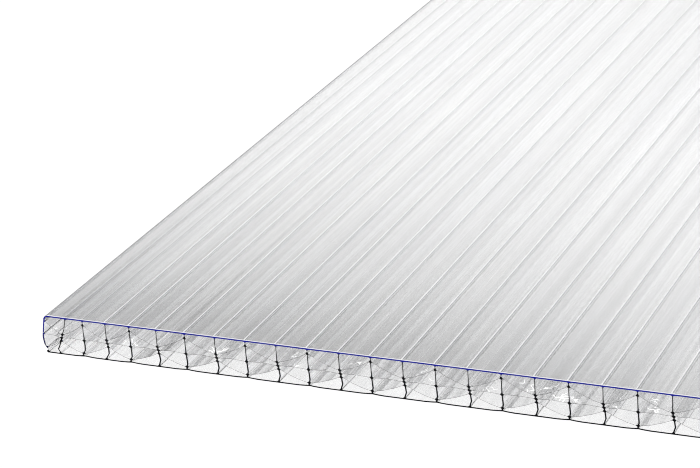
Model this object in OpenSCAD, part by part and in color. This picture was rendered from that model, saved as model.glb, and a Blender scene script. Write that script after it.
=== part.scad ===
// Multiwall polycarbonate sheet: two skins joined by ribs, with an X of thin
// webs in every pair of cells and a thin wall through the middle. The whole
// section is extruded in one piece. X runs across the ribs, Y along the
// hollow channels and Z up through the thickness, with Z = 0 on the underside.

/* [Sheet] */
// Width over both side walls, across the ribs
sheet_w = 1200; // [800:10:2100]
// Length along the channels
sheet_l = 2000; // [500:50:6000]
// Thickness over both skins
sheet_t = 25; // [22:0.5:32]

/* [Walls] */
// Thickness of the top skin
top_t = 0.85; // [0.5:0.05:1.5]
// Thickness of the bottom skin
bottom_t = 0.8; // [0.5:0.05:1.2]
// Thickness of the ribs where they leave the top skin
rib_t = 0.45; // [0.35:0.05:1.2]
// Thickness of the ribs at their foot on the bottom skin
rib_foot_t = 0.9; // [0.35:0.05:1.2]
// Thickness of the side walls
side_t = 0.75; // [0.5:0.05:1.2]
// Thickness of the X webs and of the middle wall
web_t = 0.16; // [0.12:0.02:0.5]
// Reach of the fillets where a web meets a rib
web_fillet = 0.9; // [0.2:0.1:1.4]
// Reach along the top skin of the fillets under it
top_fillet = 1.6; // [0.2:0.1:2.4]
// Reach down the rib of the fillets under the top skin
top_fillet_drop = 0.9; // [0.2:0.1:1.2]
// Reach of the fillets where a rib meets the bottom skin
foot_fillet = 0.7; // [0.2:0.1:1.2]

/* [Cells] */
// Aimed spacing of the ribs away from the edges
rib_spacing = 20; // [16:0.5:32]
// Width of the first cell, beside the side wall
edge_cell_1 = 13.1; // [12:0.1:20]
// Width of the second cell
edge_cell_2 = 15.9; // [12:0.1:20]
// Width of the third cell
edge_cell_3 = 15.7; // [12:0.1:20]
// Width of the fourth cell
edge_cell_4 = 16.3; // [12:0.1:20]
// Width of the fifth cell
edge_cell_5 = 18.3; // [12:0.1:20]
// Width of the sixth cell
edge_cell_6 = 19; // [12:0.1:20]

/* [X structure] */
// Depth below the top face where the upper webs leave an even rib
root_drop = 3.4; // [2.5:0.1:6]
// Height above the underside where the lower webs leave an even rib
root_rise = 2.5; // [2.2:0.1:4]
// Height of the middle wall
middle_z = 11.2; // [9:0.1:13]
// Distance from the middle wall to the upper crossing on an odd rib
cross_rise = 2.1; // [1.5:0.1:4]
// Distance from the middle wall to the lower crossing on an odd rib
cross_drop = 2; // [1.5:0.1:3]
// Height above the underside where the lower web leaves the side wall
side_root_rise = 3.8; // [3.2:0.1:5]
// Distance from the middle wall to its own joint with the side wall
side_middle_rise = 1.4; // [0:0.1:2]
// Sag of each web of the X below a straight line
web_sag = 0.85; // [0:0.05:1.2]
// Rise of the middle wall between two ribs
middle_bow = 0.6; // [0:0.05:1]

/* [Cooling marks] */
// Depth of the hollow that an even rib draws into the bottom skin
sink_depth = 0.5; // [0:0.05:0.8]
// Half width of that hollow
sink_reach = 7; // [4:0.5:8]
// How far the lower part of an even rib bows towards the middle of the sheet
even_bow = 0.6; // [0:0.05:1.5]
// How far the lower part of an odd rib bows towards the middle of the sheet
odd_bow = 1.4; // [0:0.05:2.2]
// How far the head of the first rib leans in from the side wall
first_lean = 4.1; // [0:0.1:5]
// How far the foot of the first rib kicks out towards the side wall
first_kick = 2.8; // [0:0.1:3.5]
// How far the feet of the second and third ribs lean outwards
second_kick = 1.8; // [0:0.1:3]

/* [Hidden] */
edge_cells = [edge_cell_1, edge_cell_2, edge_cell_3, edge_cell_4, edge_cell_5, edge_cell_6];
edge_zone = width_of(len(edge_cells));
middle_cells = 2 * round((sheet_w - 2 * edge_zone) / (2 * rib_spacing));
pitch = (sheet_w - 2 * edge_zone) / middle_cells;
half_cells = len(edge_cells) + middle_cells / 2;

// Heights of the joints on the even ribs and on the odd ribs
even_high = sheet_t - root_drop;
even_low = root_rise;
odd_high = middle_z + cross_rise;
odd_low = middle_z - cross_drop;
// The side wall takes the place of an even rib in the first cell
function even_root(cell) = cell == 0 ? side_root_rise : even_low;
function even_middle(cell) = cell == 0 ? middle_z + side_middle_rise : middle_z;

// Height at which the ribs bow most
bow_z = 4.5;
// Share of a rib's bow at each height: even ribs, odd ribs, and the first
// rib's lean above the middle wall and kick below it
even_shape = [[even_low, 0], [bow_z, 1], [7.5, 0.7], [middle_z, 0.2], [even_high, 0]];
odd_shape = [[0, 0], [2.5, 0.5], [bow_z, 1], [odd_low, 0.6], [middle_z, 0.3], [odd_high, 0]];
lean_shape = [[10, 0], [14.4, 0.34], [17.6, 0.66], [sheet_t, 1]];
kick_shape = [[0, 0.25], [1.5, 0.65], [3.3, 1], [5.8, 0.57], [10, 0]];
foot_shape = [[0, 1], [bow_z, 0.3], [2 * bow_z, 0]];

// Outer face of the side wall from the rounded top corner to the foot: how far
// in from the full width, and the height. The wall bows outwards, and a groove
// parts it from the foot, which is the edge of the bottom skin.
side_bow = [
    [0.2, 8.3],
    [0, 10.8],
    [0.5, 14],
    [1.3, 19]
];
side_low = [
    [2.7, 0],
    [1.9, 0.6],
    [2, 1.3],
    [3.2, 1.9],
    [2.8, 2.6],
    [1.8, 3.6],
    [0.7, 5.5]
];
side_high = [
    [2, sheet_t - 1.9],
    [3, sheet_t - 0.6],
    [4.6, sheet_t]
];
side_face = concat(side_low, side_bow, side_high);
// The same line by height, down to the groove, which the inner face follows
side_line = [for (p = side_face) if (p[1] >= side_low[3][1]) [p[1], p[0]]];

function width_of(count) = count == 0 ? 0 : edge_cells[count - 1] + width_of(count - 1);
function is_even(rib) = rib % 2 == 0;

// Place of a rib of the left half at the middle wall
function rib_place(rib) =
    -sheet_w / 2 + (rib <= len(edge_cells) ? width_of(rib) : edge_zone + (rib - len(edge_cells)) * pitch);

// How far a rib's centre lies from that place at each height
function rib_shift(rib, z) =
    rib == half_cells ? 0
    : rib == 1 ? first_lean * lookup(z, lean_shape) - first_kick * lookup(z, kick_shape)
    : (is_even(rib) ? even_bow * lookup(z, even_shape) : odd_bow * lookup(z, odd_shape))
        - (rib <= 3 ? second_kick : rib == 4 ? second_kick / 2 : 0) * lookup(z, foot_shape);

// Face of a rib at each height, on its left (side -1) or its right (side 1)
function rib_width(z) = lookup(z, [[0, rib_foot_t], [sheet_t, rib_t]]);
function rib_face(rib, side, z) =
    rib == 0
    ? rib_place(0) + lookup(z, side_line) + side_t
    : rib_place(rib) + rib_shift(rib, z) + side * rib_width(z) / 2;

// Heights at which a rib's face bends, kept clear of the corners of a chamber
corner_room = 1.2;
function bends(rib) =
    rib == 0 ? [for (p = side_line) p[0]]
    : rib == 1 ? [for (p = [kick_shape[2], kick_shape[3], lean_shape[1], lean_shape[2]]) p[0]]
    : is_even(rib) ? [for (p = [even_shape[1], even_shape[2]]) p[0]]
    : [for (p = [odd_shape[1], odd_shape[2]]) p[0]];
function face_points(rib, side, low, high) =
    [for (z = bends(rib))
        if (z > low + corner_room && z < high - corner_room) sharp(rib_face(rib, side, z), z)];
function reversed(list) = [for (k = [len(list) - 1 : -1 : 0]) list[k]];

// Hollow of the bottom skin at a distance from an even rib, and the share of
// its reach where its surface bends
sink_bend = 0.4;
function sink(distance) =
    distance >= sink_reach ? 0 : sink_depth * pow(1 - distance / sink_reach, 1.5);

// A chamber's corner is [x, z, reach of its fillet back, reach ahead, steps].
// It becomes a curve of that many steps, which leaves the two sides at the
// fillet's reaches. A corner without steps stays as it is. A fillet takes no
// more than fillet_share of a side.
fillet_share = 0.45;
function sharp(x, z) = [x, z, 0, 0, 0];
function unit(v) = v / norm(v);
function flat(p) = [p[0], p[1]];
function rounded_corner(before, corner, after, fillet) =
    let (
        start = corner + min(fillet[0], fillet_share * norm(before - corner)) * unit(before - corner),
        end = corner + min(fillet[1], fillet_share * norm(after - corner)) * unit(after - corner),
        steps = fillet[2]
    )
    [for (k = [0 : steps])
        let (share = k / steps)
        pow(1 - share, 2) * start + 2 * share * (1 - share) * corner + pow(share, 2) * end];
function rounded(corners) =
    let (count = len(corners))
    [for (k = [0 : count - 1])
        let (
            before = flat(corners[(k + count - 1) % count]),
            corner = flat(corners[k]),
            after = flat(corners[(k + 1) % count]),
            fillet = [for (j = [2 : 4]) corners[k][j]]
        )
        each fillet[2] == 0 ? [corner] : rounded_corner(before, corner, after, fillet)];

// One cell lies between an even rib and an odd rib. These give its two faces,
// and a point of one face of a web that spans it: share 0 is at the even rib.
function even_rib(cell) = is_even(cell) ? cell : cell + 1;
function odd_rib(cell) = is_even(cell) ? cell + 1 : cell;
function towards_odd(cell) = is_even(cell) ? 1 : -1;
function even_face(cell, z) = rib_face(even_rib(cell), towards_odd(cell), z);
function odd_face(cell, z) = rib_face(odd_rib(cell), -towards_odd(cell), z);
function web_point(cell, share, even_z, odd_z, sag, side) =
    let (
        x_even = even_face(cell, even_z),
        x_odd = odd_face(cell, odd_z),
        slope = (even_z - odd_z) / (x_even - x_odd),
        half_web = web_t / 2 * sqrt(1 + slope * slope),
        x = x_even + share * (x_odd - x_even),
        z = even_z + share * (odd_z - even_z) - 4 * sag * share * (1 - share) + side * half_web,
        at_rib = share == 0 || share == 1
    )
    at_rib ? [x, z, web_fillet, web_fillet, 1] : sharp(x, z);
function web_line(cell, shares, even_z, odd_z, sag, side) =
    [for (share = shares) web_point(cell, share, even_z, odd_z, sag, side)];
thirds = [0, 0.33, 0.67, 1];
halves = [0, 0.5, 1];

// The four chambers of a cell, from the top skin down
function chamber_1(cell) = let (ceiling = sheet_t - top_t) concat(
    [
        [even_face(cell, ceiling), ceiling, top_fillet_drop, top_fillet, 3],
        [odd_face(cell, ceiling), ceiling, top_fillet, top_fillet_drop, 3]
    ],
    reversed(face_points(odd_rib(cell), -towards_odd(cell), odd_high, ceiling)),
    web_line(cell, reversed(thirds), even_high, odd_high, web_sag, 1)
);
function chamber_2(cell) = concat(
    web_line(cell, thirds, even_high, odd_high, web_sag, -1),
    web_line(cell, reversed(halves), even_middle(cell), middle_z, -middle_bow, 1),
    face_points(even_rib(cell), towards_odd(cell), even_middle(cell), even_high)
);
function chamber_3(cell) = concat(
    web_line(cell, halves, even_middle(cell), middle_z, -middle_bow, -1),
    web_line(cell, reversed(thirds), even_root(cell), odd_low, web_sag, 1),
    face_points(even_rib(cell), towards_odd(cell), even_root(cell), even_middle(cell))
);
function chamber_4(cell) =
    let (
        x_even = even_face(cell, bottom_t),
        floor_even = bottom_t + (even_rib(cell) == 0 ? 0 : sink(rib_foot_t / 2)),
        sink_x = [for (part = [1, sink_bend]) x_even + towards_odd(cell) * part * sink_reach]
    )
    concat(
        web_line(cell, thirds, even_root(cell), odd_low, web_sag, -1),
        reversed(face_points(odd_rib(cell), -towards_odd(cell), bottom_t, odd_low)),
        [[odd_face(cell, bottom_t), bottom_t, foot_fillet, foot_fillet, 1]],
        even_rib(cell) == 0 ? []
            : [for (x = sink_x) sharp(x, bottom_t + sink(abs(x - rib_place(even_rib(cell)))))],
        [[x_even, floor_even, foot_fillet / 2, foot_fillet / 2, 1]]
    );

// Outer shape of the section, with the hollows under the even ribs
function sink_points(rib) =
    [for (part = [-1, -sink_bend, 0, sink_bend, 1])
        [rib_place(rib) + part * sink_reach, sink(abs(part) * sink_reach)]];
function mirrored(points) = [for (p = reversed(points)) [-p[0], p[1]]];
function section_outline() =
    let (
        left_side = [for (p = reversed(side_face)) [p[0] - sheet_w / 2, p[1]]],
        left_floor = [for (rib = [2 : 2 : half_cells - 1]) each sink_points(rib)],
        middle_floor = is_even(half_cells) ? sink_points(half_cells) : [],
        left = concat(left_side, left_floor)
    )
    concat(left, middle_floor, mirrored(left));

module section() {
    difference() {
        polygon(section_outline());
        for (cell = [0 : half_cells - 1]) {
            for (flip = [0, 1]) {
                mirror([flip, 0]) {
                    polygon(rounded(chamber_1(cell)));
                    polygon(rounded(chamber_2(cell)));
                    polygon(rounded(chamber_3(cell)));
                    polygon(rounded(chamber_4(cell)));
                }
            }
        }
    }
}

module multiwall_sheet() {
    color([0.82, 0.87, 0.95])
        rotate([90, 0, 0])
            linear_extrude(height = sheet_l, center = true)
                section();
}

multiwall_sheet();
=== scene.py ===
import math

import bmesh
import bpy
from mathutils import Matrix, Vector


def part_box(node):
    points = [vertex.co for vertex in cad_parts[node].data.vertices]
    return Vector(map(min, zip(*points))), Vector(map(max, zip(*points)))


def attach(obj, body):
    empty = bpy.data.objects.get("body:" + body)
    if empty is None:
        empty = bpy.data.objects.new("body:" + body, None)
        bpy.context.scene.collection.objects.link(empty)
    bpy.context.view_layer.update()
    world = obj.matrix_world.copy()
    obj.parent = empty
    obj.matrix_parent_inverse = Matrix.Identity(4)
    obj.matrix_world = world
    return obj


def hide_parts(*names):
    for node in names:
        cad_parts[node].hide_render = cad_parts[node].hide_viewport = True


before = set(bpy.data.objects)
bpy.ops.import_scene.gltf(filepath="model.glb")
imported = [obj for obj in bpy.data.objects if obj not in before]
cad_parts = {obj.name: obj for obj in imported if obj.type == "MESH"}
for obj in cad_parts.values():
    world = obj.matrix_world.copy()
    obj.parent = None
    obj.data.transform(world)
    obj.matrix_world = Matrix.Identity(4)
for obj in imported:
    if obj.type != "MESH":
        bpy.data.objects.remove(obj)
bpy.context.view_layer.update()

scene = bpy.context.scene


# Camera. It looks down on the near left corner of the sheet from 1.5 m away
# with a long lens, along the direction solved from the joints of the cut end.
camera_data = bpy.data.cameras.new("camera")
camera_data.sensor_width = 36.0
camera_data.lens = 128.49
camera_data.clip_end = 100.0
camera = bpy.data.objects.new("camera", camera_data)
scene.collection.objects.link(camera)
camera_place = (0.1499, -2.1965, 0.6422)
view_right = Vector((0.92003, 0.38724, -0.05994))
view_down = Vector((0.09715, -0.37360, -0.92249))
view_ahead = Vector((-0.37961, 0.84290, -0.38134))
camera_turn = Matrix((view_right, -view_down, -view_ahead)).transposed()
camera.matrix_world = Matrix.Translation(camera_place) @ camera_turn.to_4x4()
scene.camera = camera


# Sheet. One piece of clear polycarbonate, run through a die and sawn to length.
# Thin strips of the top face over each rib are painted with the light and
# shade that the thick skin there throws: a painted highlight left of the rib,
# a grey painted shade line over it and a faint painted shade line at the webs.
low, high = [Vector(corner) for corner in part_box("multiwall_sheet")]
cad_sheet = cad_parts["multiwall_sheet"]
sheet_mesh = bpy.data.meshes.new("extruded_sheet")
sheet = bpy.data.objects.new("extruded_sheet", sheet_mesh)
scene.collection.objects.link(sheet)

edge_heads = [0.0172, 0.029, 0.0447, 0.061, 0.0793]
edge_zone = 0.0983
middle_cells = 50
rib_pitch = (high.x - low.x - 2 * edge_zone) / middle_cells
left_heads = [low.x + place for place in edge_heads]
middle_heads = [low.x + edge_zone + rib_pitch * k for k in range(middle_cells + 1)]
right_heads = [high.x - place for place in reversed(edge_heads)]
rib_heads = left_heads + middle_heads + right_heads

# Strips of painted highlight and painted shade on the top face, by their span from the rib
# head.
rib_lines = {
    "painted_rib_highlight": (-0.00135, -0.0005),
    "painted_rib_shade": (-0.0005, 0.0003),
    "web_line": (0.0010, 0.0030),
}
line_borders = [border for line in rib_lines.values() for border in line]
plain_heads = 2
rim_width = 0.0010
side_depth = 0.005


def top_slot(centre):
    """Names the finish of a face of the top skin from where its centre lies."""
    if high.y - abs(centre.y) < rim_width:
        return "sawn_rim"
    for number, head in enumerate(rib_heads):
        at_rim = number < plain_heads or number >= len(rib_heads) - plain_heads
        bare = {"painted_rib_highlight": at_rim, "painted_rib_shade": False, "web_line": number % 2 == 0}
        for slot, (start, end) in rib_lines.items():
            if head + start < centre.x < head + end and not bare[slot]:
                return slot
    return "top_skin"


slots = [
    "clear_wall",
    "thin_web",
    "rib_wall",
    "sawn_end",
    "side_wall",
    "top_skin",
    "painted_rib_highlight",
    "painted_rib_shade",
    "web_line",
    "sawn_rim",
]
merge_reach = 1e-6
cut_reach = 1e-7
top_height = high.z - 1e-5
web_low = 0.008
web_high = 0.019
upright = 0.35
smooth_limit = math.radians(62)

shape = bmesh.new()
shape.from_mesh(cad_sheet.data)
bmesh.ops.remove_doubles(shape, verts=shape.verts, dist=merge_reach)
top_faces = [face for face in shape.faces if all(vert.co.z > top_height for vert in face.verts)]
top_edges = {edge for face in top_faces for edge in face.edges}
top_verts = {vert for face in top_faces for vert in face.verts}
skin = top_faces + list(top_edges) + list(top_verts)
for border in [head + border for head in rib_heads for border in line_borders]:
    cut = bmesh.ops.bisect_plane(
        shape, geom=skin, dist=cut_reach, plane_co=(border, 0, 0), plane_no=(1, 0, 0))
    skin = cut["geom"]
for end in (low.y + rim_width, high.y - rim_width):
    cut = bmesh.ops.bisect_plane(
        shape, geom=skin, dist=cut_reach, plane_co=(0, end, 0), plane_no=(0, 1, 0))
    skin = cut["geom"]
shape.normal_update()
for face in shape.faces:
    face.smooth = True
    centre = face.calc_center_median()
    if abs(face.normal.y) > 0.9:
        face.material_index = slots.index("sawn_end")
    elif high.x - abs(centre.x) < side_depth and face.normal.x * centre.x > 0.1:
        face.material_index = slots.index("side_wall")
    elif centre.z > top_height:
        face.material_index = slots.index(top_slot(centre))
    elif abs(face.normal.z) < upright:
        face.material_index = slots.index("rib_wall")
    elif web_low < centre.z < web_high:
        face.material_index = slots.index("thin_web")
for edge in shape.edges:
    edge.smooth = len(edge.link_faces) == 2 and edge.calc_face_angle(0) < smooth_limit
shape.to_mesh(sheet_mesh)
shape.free()
even_shading = sheet.modifiers.new("even shading", "WEIGHTED_NORMAL")
even_shading.keep_sharp = True
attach(sheet, "root")
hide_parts("multiwall_sheet")


# Streaks. The die draws the melt along the channels, so each surface carries
# fine streaks that run its whole length. One group makes them for every finish.
streak_group = bpy.data.node_groups.new("drawn streaks", "ShaderNodeTree")
for name in ("Across", "Along"):
    streak_group.interface.new_socket(name, in_out="INPUT", socket_type="NodeSocketFloat")
streak_group.interface.new_socket("Streaks", in_out="OUTPUT", socket_type="NodeSocketFloat")
nodes = streak_group.nodes
links = streak_group.links
widths = nodes.new("NodeGroupInput")
place = nodes.new("ShaderNodeTexCoord")
per_metre = nodes.new("ShaderNodeCombineXYZ")
links.new(widths.outputs["Across"], per_metre.inputs["X"])
links.new(widths.outputs["Along"], per_metre.inputs["Y"])
links.new(widths.outputs["Across"], per_metre.inputs["Z"])
stretch = nodes.new("ShaderNodeVectorMath")
stretch.operation = "MULTIPLY"
links.new(place.outputs["Object"], stretch.inputs[0])
links.new(per_metre.outputs["Vector"], stretch.inputs[1])
noise = nodes.new("ShaderNodeTexNoise")
noise.inputs["Scale"].default_value = 1.0
noise.inputs["Detail"].default_value = 3.0
noise.inputs["Roughness"].default_value = 0.7
links.new(stretch.outputs["Vector"], noise.inputs["Vector"])
contrast = nodes.new("ShaderNodeMapRange")
contrast.inputs["From Min"].default_value = 0.35
contrast.inputs["From Max"].default_value = 0.65
links.new(noise.outputs["Fac"], contrast.inputs["Value"])
streak_out = nodes.new("NodeGroupOutput")
links.new(contrast.outputs["Result"], streak_out.inputs["Streaks"])

# Place in the sheet: how far a point lies from the middle across the ribs and
# along them, and how high. The finishes that change near the saw read it.
place_group = bpy.data.node_groups.new("place in the sheet", "ShaderNodeTree")
for name in ("Across", "Along", "Height"):
    place_group.interface.new_socket(name, in_out="OUTPUT", socket_type="NodeSocketFloat")
nodes = place_group.nodes
links = place_group.links
place = nodes.new("ShaderNodeTexCoord")
parts = nodes.new("ShaderNodeSeparateXYZ")
links.new(place.outputs["Object"], parts.inputs["Vector"])
place_out = nodes.new("NodeGroupOutput")
for axis, name in (("X", "Across"), ("Y", "Along")):
    from_middle = nodes.new("ShaderNodeMath")
    from_middle.operation = "ABSOLUTE"
    links.new(parts.outputs[axis], from_middle.inputs[0])
    links.new(from_middle.outputs["Value"], place_out.inputs[name])
links.new(parts.outputs["Z"], place_out.inputs["Height"])


def plastic(name, transmission, roughness):
    """Starts a glossy polycarbonate and gives its shader, nodes and links."""
    material = bpy.data.materials.new(name)
    material.use_nodes = True
    tree = material.node_tree
    shader = tree.nodes["Principled BSDF"]
    shader.inputs["IOR"].default_value = 1.585
    shader.inputs["Transmission Weight"].default_value = transmission
    shader.inputs["Roughness"].default_value = roughness
    sheet_mesh.materials.append(material)
    return shader, tree.nodes, tree.links


def drawn_streaks(nodes, across, along):
    """Places the streaks at so many per metre across and along."""
    streaks = nodes.new("ShaderNodeGroup")
    streaks.node_tree = streak_group
    streaks.inputs["Across"].default_value = across
    streaks.inputs["Along"].default_value = along
    return streaks.outputs["Streaks"]


def place_in_sheet(nodes):
    """Gives the distances from the middle and the height above the floor."""
    place = nodes.new("ShaderNodeGroup")
    place.node_tree = place_group
    return place.outputs


def tint(nodes, links, factor, pale, deep, target):
    """Mixes two colours by a factor into an input and gives the mix back."""
    mix = nodes.new("ShaderNodeMix")
    mix.data_type = "RGBA"
    mix.inputs["A"].default_value = (*pale, 1.0)
    mix.inputs["B"].default_value = (*deep, 1.0)
    links.new(factor, mix.inputs["Factor"])
    links.new(mix.outputs["Result"], target)
    return mix


def mask(nodes, links, value, start, end):
    """Runs from 0 to 1 while a value goes from start to end."""
    span = nodes.new("ShaderNodeMapRange")
    span.inputs["From Min"].default_value = start
    span.inputs["From Max"].default_value = end
    links.new(value, span.inputs["Value"])
    return span.outputs["Result"]


def both(nodes, links, first, second):
    """Keeps a mask only where another one is too."""
    product = nodes.new("ShaderNodeMath")
    product.operation = "MULTIPLY"
    links.new(first, product.inputs[0])
    links.new(second, product.inputs[1])
    return product.outputs["Value"]


# Clear walls. The insides of the skins are as the die leaves them: glossy,
# colourless and finely drawn along the channels.
shader, nodes, links = plastic("clear_wall", 1.0, 0.0)
streaks = drawn_streaks(nodes, 350.0, 1.0)
clear_colour = shader.inputs["Base Color"]
tint(nodes, links, streaks, (1.0, 1.0, 1.0), (0.99, 0.991, 0.993), clear_colour)


# Webs and middle wall: the same, and thin. Close to the cut, white curls are
# painted on them here and there and given some light of their own: painted
# glints, for the highlights the webs show near the cut.
shader, nodes, links = plastic("thin_web", 1.0, 0.0)
streaks = drawn_streaks(nodes, 350.0, 1.0)
clear_colour = shader.inputs["Base Color"]
tint(nodes, links, streaks, (1.0, 1.0, 1.0), (0.99, 0.991, 0.993), clear_colour)
place = nodes.new("ShaderNodeTexCoord")
folds = nodes.new("ShaderNodeTexNoise")
folds.inputs["Scale"].default_value = 150.0
folds.inputs["Detail"].default_value = 1.0
links.new(place.outputs["Object"], folds.inputs["Vector"])
off_fold = nodes.new("ShaderNodeMath")
off_fold.operation = "SUBTRACT"
off_fold.inputs[1].default_value = 0.5
links.new(folds.outputs["Fac"], off_fold.inputs[0])
from_fold = nodes.new("ShaderNodeMath")
from_fold.operation = "ABSOLUTE"
links.new(off_fold.outputs["Value"], from_fold.inputs[0])
curls = mask(nodes, links, from_fold.outputs["Value"], 0.030, 0.010)
spots = nodes.new("ShaderNodeTexNoise")
spots.inputs["Scale"].default_value = 55.0
spots.inputs["Detail"].default_value = 0.0
links.new(place.outputs["Object"], spots.inputs["Vector"])
here_and_there = mask(nodes, links, spots.outputs["Fac"], 0.60, 0.68)
near_saw = mask(nodes, links, place_in_sheet(nodes)["Along"], high.y - 0.012, high.y - 0.008)
# Painted glints: white curls that glow near the cut.
painted_glints = both(nodes, links, both(nodes, links, curls, here_and_there), near_saw)
tint(nodes, links, painted_glints, (0.0, 0.0, 0.0), (1.0, 1.0, 0.99), shader.inputs["Emission Color"])
shader.inputs["Emission Strength"].default_value = 0.4


# Ribs: the same, and more deeply streaked. The last half millimetre of their
# lower part, which is thicker than the upper one, is painted nearly black:
# painted shade for the cut ends, which look dark there.
shader, nodes, links = plastic("rib_wall", 1.0, 0.0)
place = place_in_sheet(nodes)
near_saw = mask(nodes, links, place["Along"], high.y - 0.0006, high.y - 0.0003)
lower_part = mask(nodes, links, place["Height"], 0.017, 0.013)
# Painted shade at the cut ends of the ribs' lower part.
painted_end_shade = both(nodes, links, near_saw, lower_part)
rib_colour = shader.inputs["Base Color"]
end_shade_mix = tint(nodes, links, painted_end_shade, (1.0, 1.0, 1.0), (0.0, 0.0, 0.001), rib_colour)
streaks = drawn_streaks(nodes, 350.0, 1.0)
tint(nodes, links, streaks, (1.0, 1.0, 1.0), (0.79, 0.795, 0.81), end_shade_mix.inputs["A"])
ripple = nodes.new("ShaderNodeBump")
ripple.inputs["Distance"].default_value = 0.0002
ripple.inputs["Strength"].default_value = 0.02
links.new(streaks, ripple.inputs["Height"])
links.new(ripple.outputs["Normal"], shader.inputs["Normal"])


# Sawn ends. The saw leaves the section matt. It is painted nearly black:
# painted shade, for the thin cut walls that look dark from this side. The top
# skin and the side walls, where the layer that screens ultraviolet light is
# run in, show that layer's deep blue instead.
shader, nodes, links = plastic("sawn_end", 0.0, 0.5)
shader.inputs["Specular IOR Level"].default_value = 0.05
place = place_in_sheet(nodes)
in_skin = mask(nodes, links, place["Height"], 0.0236, 0.0240)
in_side = mask(nodes, links, place["Across"], high.x - 0.0045, high.x - 0.0040)
above_foot = mask(nodes, links, place["Height"], 0.002, 0.020)
blue = nodes.new("ShaderNodeMath")
blue.operation = "MAXIMUM"
links.new(in_skin, blue.inputs[0])
links.new(both(nodes, links, in_side, above_foot), blue.inputs[1])
sawn_colour = shader.inputs["Base Color"]
# Painted shade: the nearly black of the cut walls.
painted_shade_black = (0.0, 0.0, 0.001)
screen_blue = (0.006, 0.008, 0.26)
tint(nodes, links, blue.outputs["Value"], painted_shade_black, screen_blue, sawn_colour)


# Side walls. Outside they carry the same screen. Around the upper corner they
# are painted a near black blue grey: painted shade for the dark outline that
# the rounded corner shows, seen edge on.
shader, nodes, links = plastic("side_wall", 0.75, 0.1)
shader.inputs["Specular IOR Level"].default_value = 0.0
place = place_in_sheet(nodes)
round_corner = mask(nodes, links, place["Across"], high.x - 0.0050, high.x - 0.0040)
near_top = mask(nodes, links, place["Height"], 0.0222, 0.0234)
# Painted shade: the dark outline at the rounded upper corner.
painted_outline_shade = both(nodes, links, round_corner, near_top)
side_colour = shader.inputs["Base Color"]
outline_shade_mix = tint(nodes, links, painted_outline_shade, (0.97, 0.97, 0.98), (0.0, 0.0, 0.0), side_colour)
streaks = drawn_streaks(nodes, 400.0, 2.0)
tint(nodes, links, streaks, (0.010, 0.011, 0.017), (0.002, 0.002, 0.004), outline_shade_mix.inputs["B"])


# Top skin. The ultraviolet screen makes it a little milky and adds a second
# glossy surface, so it mirrors the studio more than the clear walls do. Close
# to the sheet's rims it is painted darker: painted shade for the dark side wall
# seen through it from below.
shader, nodes, links = plastic("top_skin", 0.85, 0.0)
shader.inputs["Metallic"].default_value = 0.2
shader.inputs["Coat Weight"].default_value = 1.0
shader.inputs["Coat IOR"].default_value = 1.585
streaks = drawn_streaks(nodes, 350.0, 1.0)
skin_colour = shader.inputs["Base Color"]
# Painted shade near the rims, for the side wall seen through the skin.
at_rim = mask(nodes, links, place_in_sheet(nodes)["Across"], high.x - 0.0085, high.x - 0.0055)
rim_mix = tint(nodes, links, at_rim, (1.0, 1.0, 1.0), (0.55, 0.56, 0.59), skin_colour)
skin_even = rim_mix.inputs["A"]
streak_mix = tint(nodes, links, streaks, (1.0, 1.0, 1.0), (0.80, 0.80, 0.805), skin_even)
warm_and_cool = drawn_streaks(nodes, 18.0, 5.0)
skin_pale = streak_mix.inputs["A"]
tint(nodes, links, warm_and_cool, (0.94, 0.938, 0.93), (0.895, 0.90, 0.92), skin_pale)


# Painted highlight left of each rib: a white strip that the studio lights,
# for the bright line that the thick skin beside the rib throws there.
shader, nodes, links = plastic("painted_rib_highlight", 0.1, 0.05)
streaks = drawn_streaks(nodes, 400.0, 8.0)
tint(nodes, links, streaks, (1.0, 1.0, 1.0), (0.9, 0.9, 0.92), shader.inputs["Base Color"])


# Painted shade over each rib: a grey line for the thick skin there, which
# looks grey under its gloss.
shader, nodes, links = plastic("painted_rib_shade", 0.75, 0.05)
shader.inputs["Metallic"].default_value = 0.2
shader.inputs["Coat Weight"].default_value = 1.0
shader.inputs["Coat IOR"].default_value = 1.585
streaks = drawn_streaks(nodes, 400.0, 8.0)
line_colour = shader.inputs["Base Color"]
tint(nodes, links, streaks, (0.58, 0.59, 0.615), (0.48, 0.49, 0.515), line_colour)


# Painted shade where the upper webs leave an even rib: a faint grey line for
# the webs seen through the skin.
shader, nodes, links = plastic("web_line", 0.75, 0.05)
shader.inputs["Metallic"].default_value = 0.2
shader.inputs["Coat Weight"].default_value = 1.0
shader.inputs["Coat IOR"].default_value = 1.585
streaks = drawn_streaks(nodes, 400.0, 8.0)
line_colour = shader.inputs["Base Color"]
tint(nodes, links, streaks, (0.83, 0.84, 0.85), (0.76, 0.77, 0.78), line_colour)


# Rim of the top skin along each sawn end, painted white: a painted highlight
# for the light that the saw's burr catches.
shader, nodes, links = plastic("sawn_rim", 0.1, 0.3)
grain = drawn_streaks(nodes, 2000.0, 2000.0)
tint(nodes, links, grain, (1.0, 1.0, 1.0), (0.85, 0.86, 0.9), shader.inputs["Base Color"])


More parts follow.
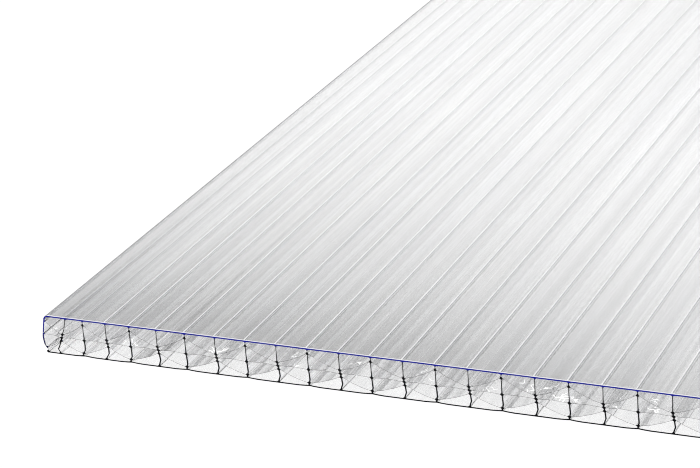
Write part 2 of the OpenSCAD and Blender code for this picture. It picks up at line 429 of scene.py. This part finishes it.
# Stage. A white floor that shows no shadow, as in the photograph, in a studio
# that is bright low down and overhead. The dark band between them greys the
# near end of the sheet, most of all on the left.
floor_mesh = bpy.data.meshes.new("floor")
shape = bmesh.new()
bmesh.ops.create_grid(shape, x_segments=1, y_segments=1, size=20.0)
shape.to_mesh(floor_mesh)
shape.free()
floor = bpy.data.objects.new("floor", floor_mesh)
floor.location.z = -0.0002
scene.collection.objects.link(floor)
floor_white = bpy.data.materials.new("floor_white")
floor_white.use_nodes = True
floor_shader = floor_white.node_tree.nodes["Principled BSDF"]
floor_shader.inputs["Base Color"].default_value = (0.05, 0.05, 0.05, 1.0)
floor_shader.inputs["Roughness"].default_value = 1.0
floor_shader.inputs["Specular IOR Level"].default_value = 0.0
floor_shader.inputs["Emission Color"].default_value = (1.0, 1.0, 1.0, 1.0)
floor_shader.inputs["Emission Strength"].default_value = 1.0
floor_mesh.materials.append(floor_white)

studio = bpy.data.worlds.new("studio")
scene.world = studio
studio.use_nodes = True
nodes = studio.node_tree.nodes
links = studio.node_tree.links
direction = nodes.new("ShaderNodeTexCoord")
parts = nodes.new("ShaderNodeSeparateXYZ")
links.new(direction.outputs["Generated"], parts.inputs["Vector"])
lean_to_left = -0.25
height = nodes.new("ShaderNodeMath")
height.operation = "MULTIPLY_ADD"
height.inputs[1].default_value = lean_to_left
links.new(parts.outputs["X"], height.inputs[0])
links.new(parts.outputs["Z"], height.inputs[2])
studio_light = nodes.new("ShaderNodeValToRGB")
links.new(height.outputs["Value"], studio_light.inputs["Fac"])
light_at_height = [
    (0.00, 1.20),
    (0.21, 1.15),
    (0.33, 1.18),
    (0.37, 1.27),
    (0.423, 1.31),
    (0.458, 1.20),
    (0.486, 0.97),
    (0.503, 0.75),
    (0.518, 0.45),
    (0.54, 0.28),
    (0.59, 0.62),
    (0.66, 1.05),
    (1.00, 1.00),
]
stops = studio_light.color_ramp.elements
stops.remove(stops[1])
for place, light in light_at_height:
    stop = stops.new(place) if place > 0 else stops[0]
    stop.color = (light, light, light, 1.0)
links.new(studio_light.outputs["Color"], nodes["Background"].inputs["Color"])

scene.view_settings.view_transform = "Standard"
scene.cycles.max_bounces = 32
scene.cycles.transmission_bounces = 32
scene.cycles.glossy_bounces = 32
scene.cycles.diffuse_bounces = 2
scene.cycles.filter_width = 1.0
scene.cycles.use_denoising = True
scene.cycles.denoising_input_passes = "RGB_ALBEDO_NORMAL"
scene.cycles.sampling_pattern = "BLUE_NOISE"
